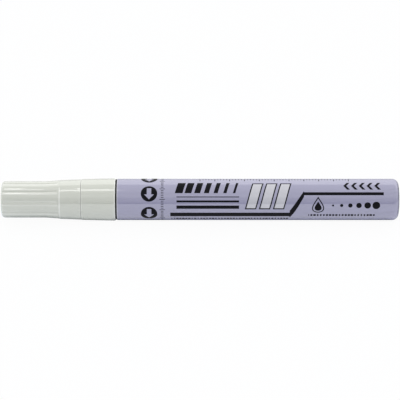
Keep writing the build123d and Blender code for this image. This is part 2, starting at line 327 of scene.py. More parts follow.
# Print: its sizes and places are in millimetres, along the barrel and round it from the line facing front.
barrel_lacquer, lacquer, place = new_finish("barrel_lacquer")
LACQUER_COLOUR = (0.367, 0.361, 0.530)
LACQUER_SHADE = (0.343, 0.337, 0.498)
LACQUER_WEAR_AND_SHADE = (0.075, 0.074, 0.090)
LACQUER_HIGHLIGHT = (0.62, 0.62, 0.68)
INK_COLOUR = (0.006, 0.006, 0.009)
SWATCH_COLOUR = (0.62, 0.62, 0.68)
ALUMINIUM_COLOUR = (0.62, 0.62, 0.63)
FRONT_ANGLE = math.radians(-64)
FINE_SOFT = 0.05
DASH_HALF_SHARES = (0.2, 0.46)
along, across, upward = place.split()
lifted = upward - AXIS_HEIGHT * MM
angle = along.math("ARCTAN2", across, lifted)
from_axis = (across * across + lifted * lifted) ** 0.5
round_mm = (angle - FRONT_ANGLE) * (BARREL_RADIUS * MM)
girth = 2 * math.pi * BARREL_RADIUS * MM


def bar(u, v, centre, size):
    """Distance from a box, in millimetres: the larger of the distances past its two pairs of sides."""
    return (abs(u - centre[0]) - size[0] / 2) | (abs(v - centre[1]) - size[1] / 2)


def disc(u, v, radius):
    """Distance from a disc, in millimetres: the distance from its middle less its radius."""
    return (u * u + v * v) ** 0.5 - radius


def outlined(distance, stroke):
    """Distance from a line of that width along the inside of a shape's edge."""
    return abs(distance + stroke / 2) - stroke / 2


def repeated(value, first, pitch):
    """The offset from the nearest of evenly spaced places, and the number of that place."""
    number = ((value - first) / pitch + 0.5).floor()
    return value - first - number * pitch, number


def row_of(count, first, pitch):
    """Middle and length of a row of places, with half a pitch past both ends."""
    return first + pitch * (count - 1) / 2, pitch * count


def dashes(u, v, ends, centre, height, pitch, seed):
    """A row of dashes of uneven length, each a share of its cell that white noise picks."""
    cell, number = repeated(u, ends[0], pitch)
    picked = u.node("TexWhiteNoise", {"noise_dimensions": "1D"}, {"W": number + seed})
    dash = abs(cell) - picked.between(*DASH_HALF_SHARES) * pitch
    row = bar(u, v, ((ends[0] + ends[1]) / 2, centre), (ends[1] - ends[0], height))
    return (dash | row).inside(FINE_SOFT)


# Ring of turning marks near the mouth: dark discs, each with a pale arrow along the way that the cap opens.
DISC_COUNT = 6
DISC_PLACE = -17.1
DISC_FIRST = 1.98
DISC_RADIUS = 2.76
ARROW_TIP = 2.0
ARROW_HALF_WIDTH = 1.65
ARROW_HEAD_LENGTH = 1.7
SHAFT_SIZE = (1.5, 2.35)
SHAFT_MIDDLE = 0.78
disc_v, _ = repeated(round_mm, DISC_FIRST, girth / DISC_COUNT)
disc_u = along - DISC_PLACE
shaft = bar(disc_u, disc_v, (0, SHAFT_MIDDLE), SHAFT_SIZE)
from_tip = disc_v + ARROW_TIP
head = (abs(disc_u) - from_tip * (ARROW_HALF_WIDTH / ARROW_HEAD_LENGTH)) | (from_tip - ARROW_HEAD_LENGTH)
ink = disc(disc_u, disc_v, DISC_RADIUS).inside() & (1 - (shaft & head).inside())

# Ring of ticks beside the marks, every sixth one longer, and a scale of millimetres along the top.
TICK_PLACE = -12.7
TICK_COUNT = 72
TICK_WIDTH = 0.22
TICK_LENGTHS = {1: 0.9, 6: 1.8}
SCALE_LINE = 9.1
SCALE_START, SCALE_END = 0.0, 50.0
SCALE_WIDTH = 0.25
SCALE_LENGTHS = {1: 0.9, 5: 1.7}
tick_pitch = girth / TICK_COUNT
scale_row = abs(along - (SCALE_START + SCALE_END) / 2) - (SCALE_END - SCALE_START + SCALE_WIDTH) / 2
for every, length in TICK_LENGTHS.items():
    tick_v, _ = repeated(round_mm, 0.0, tick_pitch * every)
    ink = ink | bar(along, tick_v, (TICK_PLACE, 0), (length, TICK_WIDTH)).inside()
for every, length in SCALE_LENGTHS.items():
    scale_u, _ = repeated(along, SCALE_START, every)
    mark = bar(scale_u, round_mm, (0, SCALE_LINE - length / 2), (SCALE_WIDTH, length))
    ink = ink | (mark | scale_row).inside()

# Stripe that runs low along the front, steps up on a slant and runs on high.
STRIPE_START, STRIPE_END = -10.0, 61.6
STRIPE_RISE_START, STRIPE_RISE_END = 30.1, 34.9
STRIPE_LOW, STRIPE_HIGH = -5.75, 1.9
STRIPE_LOW_WIDTH, STRIPE_HIGH_WIDTH = 1.8, 1.05
rise = along.ramp(STRIPE_RISE_START, STRIPE_RISE_END)
steep = (STRIPE_HIGH - STRIPE_LOW) / (STRIPE_RISE_END - STRIPE_RISE_START)
on_slant = abs(along - (STRIPE_RISE_START + STRIPE_RISE_END) / 2) - (STRIPE_RISE_END - STRIPE_RISE_START) / 2
narrowing = on_slant.inside() * (1 / math.hypot(1, steep) - 1) + 1
from_line = abs(round_mm - rise.between(STRIPE_LOW, STRIPE_HIGH)) * narrowing
stripe = from_line - rise.between(STRIPE_LOW_WIDTH, STRIPE_HIGH_WIDTH) * 0.5
stripe_length = abs(along - (STRIPE_START + STRIPE_END) / 2) - (STRIPE_END - STRIPE_START) / 2
ink = ink | (stripe | stripe_length).inside()

# Block of slanted bars that grow thinner, over three strokes that grow thicker.
SLANT = 0.27
BAR_COUNT = 7
BAR_FIRST, BAR_PITCH = -6.6, 3.1
BAR_LINE, BAR_HEIGHT = 4.2, 4.2
BAR_HALF_WIDTH, BAR_THINNING = 1.3, 0.15
STROKE_MIDDLE, STROKE_LENGTH = 2.6, 21.0
STROKES = ((0.8, 0.3), (-0.7, 0.7), (-2.7, 1.2))
bar_leaning = along - (round_mm - BAR_LINE) * SLANT
bar_u, bar_number = repeated(bar_leaning, BAR_FIRST, BAR_PITCH)
bar_middle, bar_length = row_of(BAR_COUNT, BAR_FIRST, BAR_PITCH)
bar_row = bar(bar_leaning, round_mm, (bar_middle, BAR_LINE), (bar_length, BAR_HEIGHT))
ink = ink | ((abs(bar_u) - (BAR_HALF_WIDTH - bar_number * BAR_THINNING)) | bar_row).inside()
for line, width in STROKES:
    ink = ink | bar(along, round_mm, (STROKE_MIDDLE, line), (STROKE_LENGTH, width)).inside()

# Tall slanted swatches: pale fills with dark outlines.
SWATCH_COUNT = 3
SWATCH_FIRST, SWATCH_PITCH = 18.2, 4.7
SWATCH_LINE = 1.3
SWATCH_SIZE = (3.8, 9.6)
SWATCH_STROKE = 0.42
leaning = along - (round_mm - SWATCH_LINE) * SLANT
swatch_u, _ = repeated(leaning, SWATCH_FIRST, SWATCH_PITCH)
swatch_middle, swatch_length = row_of(SWATCH_COUNT, SWATCH_FIRST, SWATCH_PITCH)
swatch_row = abs(leaning - swatch_middle) - swatch_length / 2
swatch = bar(swatch_u, round_mm, (0, SWATCH_LINE), SWATCH_SIZE) | swatch_row
fill = (swatch + SWATCH_STROKE / 2).inside()
ink = ink | outlined(swatch, SWATCH_STROKE).inside()

# Paint drop: its half width at height t is the root of 1 - t squared times (1 - t) / 2 to the power 3/4.
DROP_PLACE = (39.6, -1.9)
DROP_HALF_HEIGHT = 2.9
DROP_POWER = 0.75
DROP_HOLE_SHARE, DROP_HOLE_SINK = 0.82, 0.18
DROP_HEART_SHARE, DROP_HEART_SINK = 0.58, 0.45


def drop(share, sink=0.0):
    """A drop of that share of the full size, let down by sink."""
    reach = DROP_HALF_HEIGHT * share
    height = (round_mm - (DROP_PLACE[1] - sink)) / reach
    within = (height & 1.0) | -1.0
    width = (1 - within * within) ** 0.5 * ((1 - within) * 0.5) ** DROP_POWER
    beside = abs(along - DROP_PLACE[0]) - width * reach
    return (beside | (abs(height) - 1) * reach).inside(FINE_SOFT)


drop_line = drop(1.0) & (1 - drop(DROP_HOLE_SHARE, DROP_HOLE_SINK))
ink = ink | drop_line | drop(DROP_HEART_SHARE, DROP_HEART_SINK)

# Row of dots that grow in even steps beside the drop, as a scale of line widths.
DOT_COUNT = 6
DOT_FIRST, DOT_PITCH = 44.6, 2.9
DOT_LINE = -2.1
DOT_SMALLEST, DOT_STEP = 0.35, 0.19
dot_u, dot_number = repeated(along, DOT_FIRST, DOT_PITCH)
dot_middle, dot_length = row_of(DOT_COUNT, DOT_FIRST, DOT_PITCH)
dot = disc(dot_u, round_mm - DOT_LINE, dot_number * DOT_STEP + DOT_SMALLEST)
ink = ink | (dot | bar(along, round_mm, (dot_middle, DOT_LINE), (dot_length, DOT_PITCH))).inside()

# Chevrons over the high stripe, which point to the nib.
CHEVRON_COUNT = 5
CHEVRON_FIRST, CHEVRON_PITCH = 48.6, 2.6
CHEVRON_LINE, CHEVRON_HEIGHT = 4.9, 3.0
CHEVRON_HALF_WIDTH = 0.5
CHEVRON_SLOPE = 0.8
bent = along - abs(round_mm - CHEVRON_LINE) * CHEVRON_SLOPE
chevron_u, _ = repeated(bent, CHEVRON_FIRST, CHEVRON_PITCH)
chevron_middle, chevron_length = row_of(CHEVRON_COUNT, CHEVRON_FIRST, CHEVRON_PITCH)
chevron_row = bar(bent, round_mm, (chevron_middle, CHEVRON_LINE), (chevron_length, CHEVRON_HEIGHT))
ink = ink | ((abs(chevron_u) - CHEVRON_HALF_WIDTH) | chevron_row).inside()

# Rows of dashes under the stripe, and a framed panel with more of them on the back.
# Each row has its ends, its line, the height and pitch of its dashes, and the seed of their lengths.
DASH_ROWS = (
    ((-9.6, 29.6), -8.1, 0.95, 1.0, 11),
    ((36.4, 59.0), -6.0, 0.9, 1.05, 23),
    ((2.0, 40.0), 25.2, 0.9, 1.1, 31),
    ((2.0, 44.0), 23.3, 0.9, 1.0, 43),
    ((2.0, 36.0), 21.4, 0.9, 1.2, 59),
    ((2.0, 41.0), 19.5, 0.9, 1.1, 71),
)
for ends, line, height, pitch, seed in DASH_ROWS:
    ink = ink | dashes(along, round_mm, ends, line, height, pitch, seed)
PANEL_MIDDLE = (24.0, 22.35)
PANEL_SIZE = (50.0, 9.6)
PANEL_STROKE = 0.4
ink = ink | outlined(bar(along, round_mm, PANEL_MIDDLE, PANEL_SIZE), PANEL_STROKE).inside()

# Lacquer: cloudy, streaked by handling near the tail, darkened on the tail's rounded edge as painted shade,
# and paler along the mouth's edge as a painted highlight. The inside is bare metal.
# Depth under the skin is told from a core that lies one tail round inside the barrel's side and end.
LACQUER_ROUGHNESS = (0.3, 0.4)
LACQUER_BUMP = 0.0016
STREAK_SLOPE = 0.25
STREAK_STRETCH = 0.10
STREAK_CUT = (0.52, 0.72)
STREAK_START, STREAK_END = 55.0, 64.0
STREAK_WEAR, STREAK_ROUGHNESS = 0.12, 0.1
RIM_START, RIM_END = 1.2, 1.6
RIM_INSIDE, RIM_OUTSIDE = 0.0, 0.3
TAIL_SHADE_STRENGTH = (0.5, 0.9)
PATCH_CUT = (0.35, 0.65)
MOUTH_HIGHLIGHT_WIDTH = 0.45
SKIN_BLEND = 0.1
past_core = (along - (barrel_high.x - TAIL_ROUND) * MM) | 0.0
beyond_core = (from_axis - (BARREL_RADIUS - TAIL_ROUND) * MM) | 0.0
skin_depth = (TAIL_ROUND - BARREL_WALL / 2) * MM
lacquered = disc(past_core, beyond_core, skin_depth).ramp(0.0, SKIN_BLEND)
cloud = place.noise(scale=0.12, detail=3.0)
skin = place.noise(scale=1.1, detail=1.5)
streaked = {"X": (along + round_mm) * STREAK_STRETCH, "Y": round_mm - along * STREAK_SLOPE, "Z": 0.0}
streaks = along.node("CombineXYZ", None, streaked).noise(scale=0.9, detail=3.0).ramp(*STREAK_CUT)
streaks = streaks * along.ramp(STREAK_START, STREAK_END)
patchy_noise = place.noise(scale=0.9, detail=4.0).ramp(*PATCH_CUT)
# Painted shade: a dark ring on the tail's rounded edge, broken up by patchy noise, where the coat is left
# off.
tail_shade = past_core.ramp(RIM_START, RIM_END) & beyond_core.ramp(RIM_INSIDE, RIM_OUTSIDE)
tail_shade = tail_shade * patchy_noise.between(*TAIL_SHADE_STRENGTH)
wear_and_shade = streaks * STREAK_WEAR | tail_shade
# Painted highlight: the lacquer turns pale within a short way of the mouth's edge.
mouth_highlight = 1 - along.ramp(barrel_low.x * MM, barrel_low.x * MM + MOUTH_HIGHLIGHT_WIDTH)
bare = mouth_highlight.tint(wear_and_shade.tint(cloud.tint(LACQUER_SHADE, LACQUER_COLOUR), LACQUER_WEAR_AND_SHADE), LACQUER_HIGHLIGHT)
printed = ink.tint(fill.tint(bare, SWATCH_COLOUR), INK_COLOUR)
finish_with(
    lacquer, place, skin, LACQUER_BUMP,
    Base_Color=lacquered.tint(ALUMINIUM_COLOUR, printed),
    Metallic=1 - lacquered,
    Roughness=cloud.between(*LACQUER_ROUGHNESS) + streaks * STREAK_ROUGHNESS,
    IOR=1.3,
    Specular_IOR_Level=0.2,
    Coat_Weight=lacquered * (1 - (ink | tail_shade)),
    Coat_Roughness=0.05,
    Coat_IOR=2.1,
)
dressed(barrel, barrel_lacquer, "barrel_lacquer", "marker", "barrel")


# Gasket: a flat ring punched from black rubber, squeezed between the barrel's mouth and the collar.
# It lies a little below the surface, so that it shows as a dark gap.
gasket_low, gasket_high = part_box("barrel_gasket")
GASKET_ROUND = 0.08e-3
gasket_radius = (gasket_high.z - gasket_low.z) / 2
gasket_outline = rounded([
    (gasket_high.x, barrel_bore),
    (gasket_high.x, gasket_radius, GASKET_ROUND),
    (gasket_low.x, gasket_radius, GASKET_ROUND),
    (gasket_low.x, barrel_bore),
], steps=4)
gasket = turned_piece(
    "mouth_gasket",
    gasket_outline[:, 0],
    gasket_outline[:, 1:],
    even_angles(BARREL_SIDES),
    ring=True,
)

black_rubber, rubber, place = new_finish("black_rubber")
RUBBER_COLOUR = (0.012, 0.012, 0.014)
RUBBER_BLOOM = (0.02, 0.02, 0.022)
RUBBER_ROUGHNESS = (0.6, 0.8)
RUBBER_BUMP = 0.01
bloom = place.noise(scale=2.0, detail=4.0)
finish_with(
    rubber, place, place.noise(scale=9.0), RUBBER_BUMP,
    Base_Color=bloom.tint(RUBBER_COLOUR, RUBBER_BLOOM),
    Roughness=bloom.between(*RUBBER_ROUGHNESS),
    Specular_IOR_Level=0.12,
)
dressed(gasket, black_rubber, "black_rubber", "marker", "barrel_gasket")


# Collar: the front housing, moulded in off-white glossy plastic, with a plug that is pressed into the barrel.
# The part that shows tapers a little to the cap, and the neck under the cap has a thread of three starts.
collar_low, collar_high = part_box("collar")
nose_low, nose_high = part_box("nib_holder")
cap_low, cap_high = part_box("cap_shell")
CAP_SEAM = 0.10e-3
COLLAR_BAND = 1.5e-3
COLLAR_TAPER = 0.23e-3
COLLAR_ROUND = 0.3e-3
COLLAR_FRONT_ROUND = 0.06e-3
EDGE_HIGHLIGHT_WIDTH = 0.5e-3
SEAM_HIGHLIGHT = 0.4
PLUG_CLEARANCE = 0.05e-3
PLUG_WALL = 1.2e-3
PLUG_LEAD_IN = 0.4e-3
CHAMBER_RADIUS = 2.8e-3
CHAMBER_WALL = 1.2e-3
SEAT_SPACE = 2.4e-3
SOCKET_ROOF = 1.2e-3
SOCKET_RADIUS = 3.7e-3
SOCKET_CLEARANCE = 0.2e-3
NECK_RADIUS = 4.95e-3
NECK_LEAD_IN = 0.4e-3
THREAD_HEIGHT = 0.5e-3
THREAD_BASE = 0.9e-3
THREAD_CREST = 0.4e-3
THREAD_PITCH = 2.0e-3
THREAD_STARTS = 3
THREAD_MARGIN = 0.95e-3
THREAD_STEP = 0.12e-3
COLLAR_SIDES = 300

collar_radius = (collar_high.z - collar_low.z) / 2
collar_front = cap_high.x + CAP_SEAM
plug_radius = barrel_bore - PLUG_CLEARANCE
plug_bore = plug_radius - PLUG_WALL
thread_start = collar_front - THREAD_MARGIN
thread_end = collar_low.x + THREAD_MARGIN


def thread_rise(x, angles, start, end):
    """Height of the thread's ridges over their wall, as a share of their full height.

    A point's distance down the axis from the nearest ridge is its own place less the lead times its angle,
    folded into one pitch. The height falls from one at the crest's edge to zero at the foot, and the ridges
    fade within half a pitch of both ends.
    """
    lead = THREAD_PITCH * THREAD_STARTS
    travel = (start - x[:, None]) - lead * angles[None] / (2 * math.pi)
    gap = (travel + THREAD_PITCH / 2) % THREAD_PITCH - THREAD_PITCH / 2
    slope = (THREAD_BASE - THREAD_CREST) / 2
    height = np.clip((THREAD_BASE / 2 - np.abs(gap)) / slope, 0, 1)
    middle = start - x[:, None] - gap
    fade = np.clip(np.minimum(middle, (start - end) - middle) / (THREAD_PITCH / 4), 0, 1)
    return height * fade


collar_outline = rounded([
    (collar_high.x, plug_bore),
    (collar_high.x, plug_radius - PLUG_LEAD_IN),
    (collar_high.x - PLUG_LEAD_IN, plug_radius),
    (gasket_low.x, plug_radius),
    (gasket_low.x, collar_radius, COLLAR_ROUND),
    (gasket_low.x - COLLAR_BAND, collar_radius),
    (collar_front, collar_radius - COLLAR_TAPER, COLLAR_FRONT_ROUND),
    (collar_front, NECK_RADIUS),
], steps=8)
neck_rows = np.arange(collar_front, collar_low.x + NECK_LEAD_IN, -THREAD_STEP)
neck_outline = np.stack([neck_rows, np.full_like(neck_rows, NECK_RADIUS)], axis=1)
socket_bottom = nose_high.x + SOCKET_CLEARANCE
socket_outline = rounded([
    (collar_low.x + NECK_LEAD_IN, NECK_RADIUS),
    (collar_low.x, NECK_RADIUS - NECK_LEAD_IN),
    (collar_low.x, SOCKET_RADIUS),
    (socket_bottom, SOCKET_RADIUS),
    (socket_bottom, CHAMBER_RADIUS),
    (collar_high.x - SEAT_SPACE, CHAMBER_RADIUS),
    (collar_high.x - SEAT_SPACE, CHAMBER_RADIUS + CHAMBER_WALL),
    (socket_bottom + SOCKET_ROOF, CHAMBER_RADIUS + CHAMBER_WALL),
    (socket_bottom + SOCKET_ROOF, plug_bore),
])
collar_angles = even_angles(COLLAR_SIDES)
collar_rows = np.concatenate([collar_outline, neck_outline[1:], socket_outline])
collar_shape = np.repeat(collar_rows[:, 1:], COLLAR_SIDES, axis=1)
on_neck = slice(len(collar_outline), len(collar_outline) + len(neck_rows) - 1)
neck_thread = thread_rise(neck_rows[1:], collar_angles, thread_start, thread_end)
collar_shape[on_neck] += neck_thread * THREAD_HEIGHT
collar = turned_piece("front_collar", collar_rows[:, 0], collar_shape, collar_angles, ring=True)

PLASTIC_COLOUR = (0.686, 0.708, 0.630)
PLASTIC_SHADE = (0.662, 0.684, 0.608)
PLASTIC_HIGHLIGHT = (0.95, 0.96, 0.91)
PLASTIC_ROUGHNESS = (0.28, 0.36)
PLASTIC_BUMP = 0.003


def near_edge(place, edge, way):
    """A mask that falls from one at an edge along the axis to zero a short way from it."""
    return (1 - abs(place.split()[0] - edge * MM) / (way * MM)) | 0.0


def moulded_plastic(name, painted_highlight):
    """Off-white gloss plastic with a painted highlight: paler where a mask worked out from the place is high.
    """
    material, shader, place = new_finish(name)
    cloud = place.noise(scale=0.15, detail=3.0)
    finish_with(
        shader, place, place.noise(scale=0.5, detail=1.0), PLASTIC_BUMP,
        Base_Color=painted_highlight(place).tint(cloud.tint(PLASTIC_SHADE, PLASTIC_COLOUR), PLASTIC_HIGHLIGHT),
        Roughness=cloud.between(*PLASTIC_ROUGHNESS),
        IOR=1.3,
        Coat_Weight=1.0,
        Coat_Roughness=0.035,
        Coat_IOR=2.1,
    )
    return material


def collar_edge_highlights(place):
    """A mask of the collar's painted highlights: along the rear edge, and less so along the edge beside the
    cap.
    """
    seam = near_edge(place, collar_front, EDGE_HIGHLIGHT_WIDTH) * SEAM_HIGHLIGHT
    return near_edge(place, gasket_low.x, EDGE_HIGHLIGHT_WIDTH) | seam


collar_plastic = moulded_plastic("collar_plastic", collar_edge_highlights)
dressed(collar, collar_plastic, "white_plastic", "marker", "collar")


# Nib holder: the nose, moulded in natural plastic and pressed into the neck. Its cone grips the nib,
# its cylinder seals in the inner cap, and four slots in its bore let air past the nib.
FLANGE_THICKNESS = 1.0e-3
SEAL_LENGTH = 4.0e-3
SEAL_RADIUS = 3.9e-3
NOSE_TIP_RADIUS = 2.5e-3
NOSE_PLUG_RADIUS = 3.65e-3
NIB_BORE = 2.05e-3
VENT_DEPTH = 0.4e-3
VENT_WIDTH = 0.6e-3
VENT_COUNT = 4
NOSE_ROUND = 0.12e-3
NOSE_SIDES = 240
flange_radius = (nose_high.z - nose_low.z) / 2
flange_front = collar_low.x - FLANGE_THICKNESS
seal_front = flange_front - SEAL_LENGTH
nose_outline = rounded([
    (nose_high.x, NOSE_PLUG_RADIUS),
    (collar_low.x, NOSE_PLUG_RADIUS),
    (collar_low.x, flange_radius, NOSE_ROUND),
    (flange_front, flange_radius, NOSE_ROUND),
    (flange_front, SEAL_RADIUS, NOSE_ROUND),
    (seal_front, SEAL_RADIUS, NOSE_ROUND),
    (nose_low.x, NOSE_TIP_RADIUS, NOSE_ROUND),
    (nose_low.x, NIB_BORE),
], steps=5)
bore_rows = np.array([(seal_front, NIB_BORE), (seal_front, NIB_BORE), (nose_high.x, NIB_BORE)])
nose_angles = even_angles(NOSE_SIDES)
nose_rows = np.concatenate([nose_outline, bore_rows])
nose_shape = np.repeat(nose_rows[:, 1:], NOSE_SIDES, axis=1)
from_vent = (nose_angles + math.pi / VENT_COUNT) % (2 * math.pi / VENT_COUNT) - math.pi / VENT_COUNT
in_vent = np.abs(np.sin(from_vent)) * NIB_BORE < VENT_WIDTH / 2
nose_shape[-2:] += np.where(in_vent, VENT_DEPTH, 0)
nose = turned_piece("nib_nose", nose_rows[:, 0], nose_shape, nose_angles, ring=True)

natural_plastic, natural, place = new_finish("natural_plastic")
NATURAL_COLOUR = (0.78, 0.785, 0.755)
NATURAL_SHADE = (0.72, 0.725, 0.69)
NATURAL_ROUGHNESS = (0.33, 0.48)
cloud = place.noise(scale=0.35, detail=4.0)
finish_with(
    natural, place, place.noise(scale=4.0), PLASTIC_BUMP,
    Base_Color=cloud.tint(NATURAL_SHADE, NATURAL_COLOUR),
    Roughness=cloud.between(*NATURAL_ROUGHNESS),
)
dressed(nose, natural_plastic, "natural_plastic", "marker", "nib_holder")


# Nib: fibres drawn into a rod, bonded, and ground to a bullet point.
# It slides in the nose, and its tail pushes the valve's rod.
nib_low, nib_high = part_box("nib")
NIB_POINT_LENGTH = 3.0e-3
NIB_POINT_RADIUS = 1.1e-3
NIB_POINT_ROUND = 1.0e-3
NIB_TAIL_ROUND = 0.1e-3
NIB_SIDES = 128
nib_radius = (nib_high.z - nib_low.z) / 2
nib_outline = rounded([
    (nib_high.x, 0),
    (nib_high.x, nib_radius, NIB_TAIL_ROUND),
    (nib_low.x + NIB_POINT_LENGTH, nib_radius, nib_radius),
    (nib_low.x, NIB_POINT_RADIUS, NIB_POINT_ROUND),
    (nib_low.x, 0),
], steps=12)
nib = turned_piece("bullet_nib", nib_outline[:, 0], nib_outline[:, 1:], even_angles(NIB_SIDES))

nib_fibre, fibre, place = new_finish("nib_fibre")
FIBRE_COLOUR = (0.80, 0.79, 0.76)
FIBRE_SHADE = (0.62, 0.61, 0.58)
FIBRE_GRAIN = (0.12, 1.0, 1.0)
FIBRE_CUT = (0.3, 0.62)
FIBRE_ROUGHNESS = (0.72, 0.92)
FIBRE_BUMP = 0.03
strands = place.stretched(FIBRE_GRAIN).noise(scale=7.0, detail=4.0, rough=0.65)
finish_with(
    fibre, place, strands, FIBRE_BUMP,
    Base_Color=strands.ramp(*FIBRE_CUT).tint(FIBRE_SHADE, FIBRE_COLOUR),
    Roughness=strands.between(*FIBRE_ROUGHNESS),
)
dressed(nib, nib_fibre, "nib_fibre", "nib_set", "nib")


# Valve: a rubber seat, and a cage, a rod with guide fins and a spring retainer moulded in natural plastic.
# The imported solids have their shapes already, and take the finishes of the like pieces above.
def refinished(name, material):
    """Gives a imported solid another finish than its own."""
    nodes[name].data.materials.clear()
    nodes[name].data.materials.append(material)


refinished("valve_seat", black_rubber)
for name in ("valve_case", "valve_rod", "spring_retainer"):
    refinished(name, natural_plastic)


# Valve spring: bright steel wire wound into an open coil. It sits on the retainer and shuts the valve,
# and it shortens towards the retainer when the nib is pressed.
spring_low, spring_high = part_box("valve_spring")
SPRING_WIRE_RADIUS = 0.2e-3
SPRING_TURNS = 9
SPRING_STEPS = 48
WIRE_SIDES = 16
WIRE_SHARP_ANGLE = math.radians(50)
coil_radius = (spring_high.z - spring_low.z) / 2 - SPRING_WIRE_RADIUS


def coil(turns, start, end, radius, wire, steps, sides):
    """A round wire along a coil: the centre line turns about the axis as it runs evenly from start to end.

    Each ring of the wire lies in the plane of the radius and of the third direction square to the line.
    """
    turn = np.linspace(0, 2 * math.pi * turns, turns * steps + 1)[:, None]
    side = np.linspace(0, 2 * math.pi, sides, endpoint=False)[None]
    slope = (end - start) / (2 * math.pi * turns)
    speed = math.hypot(radius, slope)
    outward = np.stack([0 * turn, np.sin(turn), np.cos(turn)], axis=-1)
    line = np.stack([slope + 0 * turn, radius * np.cos(turn), -radius * np.sin(turn)], axis=-1) / speed
    third = np.cross(line, outward)
    centre = outward * radius + np.stack([start + slope * turn, 0 * turn, AXIS_HEIGHT + 0 * turn], axis=-1)
    return centre + wire * (np.cos(side)[..., None] * outward + np.sin(side)[..., None] * third)


wire = coil(
    SPRING_TURNS,
    spring_high.x - SPRING_WIRE_RADIUS,
    spring_low.x + SPRING_WIRE_RADIUS,
    coil_radius,
    SPRING_WIRE_RADIUS,
    SPRING_STEPS,
    WIRE_SIDES,
)
rings = np.arange(wire.shape[0] * WIRE_SIDES).reshape(-1, WIRE_SIDES)
beside = np.roll(rings, -1, axis=1)
wire_faces = np.stack([rings[:-1], beside[:-1], beside[1:], rings[1:]], axis=-1).reshape(-1, 4).tolist()
wire_faces += [rings[0, ::-1].tolist(), rings[-1].tolist()]
spring_mesh = bpy.data.meshes.new("valve_coil")
spring_mesh.from_pydata(wire.reshape(-1, 3), [], wire_faces)
spring_mesh.shade_smooth()
spring_mesh.set_sharp_from_angle(angle=WIRE_SHARP_ANGLE)
spring = bpy.data.objects.new("valve_coil", spring_mesh)
bpy.context.scene.collection.objects.link(spring)

spring_steel, steel, place = new_finish("spring_steel")
STEEL_COLOUR = (0.58, 0.58, 0.59)
STEEL_SHADE = (0.42, 0.42, 0.43)
STEEL_GRAIN = (6.0, 1.0, 1.0)
STEEL_ROUGHNESS = (0.2, 0.35)
STEEL_BUMP = 0.004
drawn = place.stretched(STEEL_GRAIN).noise(scale=3.0, detail=3.0)
finish_with(
    steel, place, drawn, STEEL_BUMP,
    Base_Color=drawn.tint(STEEL_SHADE, STEEL_COLOUR),
    Metallic=1.0,
    Roughness=drawn.between(*STEEL_ROUGHNESS),
)
dressed(spring, spring_steel, "spring_steel", "marker", "valve_spring")
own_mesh(spring)


# Mixing ball: a ground steel ball, loose in the barrel, that stirs the paint when the marker is shaken.
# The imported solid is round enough, and takes a polished finish that is scuffed by use.
ball_steel, ball, place = new_finish("ball_steel")
BALL_COLOUR = (0.66, 0.66, 0.68)
BALL_SCUFF = (0.45, 0.45, 0.46)
BALL_CUT = (0.4, 0.6)
BALL_ROUGHNESS = (0.05, 0.25)
BALL_BUMP = 0.002
patchy_noise = place.noise(scale=1.6, detail=5.0, rough=0.7)
finish_with(
    ball, place, patchy_noise, BALL_BUMP,
    Base_Color=patchy_noise.ramp(*BALL_CUT).tint(BALL_SCUFF, BALL_COLOUR),
    Metallic=1.0,
    Roughness=patchy_noise.between(*BALL_ROUGHNESS),
)
refinished("mixing_ball", ball_steel)


# Inner cap: a thin cup moulded in natural plastic, which seals on the nose and keeps the nib wet.
# A bead round it snaps into a groove in the cap.
liner_low, liner_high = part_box("inner_cap")
LINER_WALL = 0.7e-3
LINER_END_WALL = 0.8e-3
LINER_RADIUS = 4.65e-3
BEAD_PLACE = 3.0e-3
BEAD_WIDTH = 0.8e-3
LINER_ROUND = 0.15e-3
bead_radius = (liner_high.z - liner_low.z) / 2
bead_start = liner_high.x - BEAD_PLACE
liner_bore = LINER_RADIUS - LINER_WALL
liner_outline = rounded([
    (liner_low.x, 0),
    (liner_low.x, LINER_RADIUS, LINER_ROUND),
    (bead_start - BEAD_WIDTH, LINER_RADIUS),
    (bead_start - BEAD_WIDTH, bead_radius, LINER_ROUND),
    (bead_start, bead_radius, LINER_ROUND),
    (bead_start, LINER_RADIUS),
    (liner_high.x, LINER_RADIUS, LINER_ROUND),
    (liner_high.x, liner_bore, LINER_ROUND),
    (liner_low.x + LINER_END_WALL, liner_bore, LINER_ROUND),
    (liner_low.x + LINER_END_WALL, 0),
], steps=5)
liner = turned_piece("cap_liner_cup", liner_outline[:, 0], liner_outline[:, 1:], even_angles(NOSE_SIDES))
dressed(liner, natural_plastic, "natural_plastic", "cap_liner", "inner_cap")


# Cap: moulded in the collar's plastic, with a plain skirt, a small step, a flare and a grip of ten flutes.
# The skirt has the inside thread that screws onto the neck.
SKIRT_LENGTH = 7.1e-3
SKIRT_TAPER = 0.26e-3
SKIRT_STEP = 0.06e-3
FLARE_LENGTH = 5.2e-3
FLARE_RISE = 0.32e-3
RIM_ROUND = 0.06e-3
STEP_ROUND = 0.05e-3
CAP_END_ROUND = 1.2e-3
CAP_END_WALL = 1.4e-3
CAP_BORE = 4.8e-3
THREAD_BORE = 5.75e-3
CAP_CREST = 5.10e-3
GROOVE_RADIUS = 5.1e-3
GROOVE_MARGIN = 0.2e-3
FLUTE_COUNT = 10
FLUTE_FIRST = math.radians(32.5)
FLUTE_DEPTH = 0.30e-3
FLUTE_FADE = 0.45e-3
FLUTE_REACH = 4.2e-3
FLUTE_RUNOUT = 0.6e-3
FLUTE_FLOOR = 0.05e-3
FLUTE_STEPS = 36
FLUTE_CROWDING = 0.65
CAP_ROW_STEP = 0.35e-3
# Painted highlights on the flutes' lips and on the skirt's step: their places, widths, strengths and depths.
LIP_PLACE = 0.78
LIP_WIDTH = 0.5
LIP_HIGHLIGHT = {-1: 0.55, 1: 0.15}
LIP_DEPTHS = (0.6, 0.2)
STEP_HIGHLIGHT_WIDTH = 0.35e-3
STEP_PLAIN_START, STEP_PLAIN_END = 5.5, 6.1

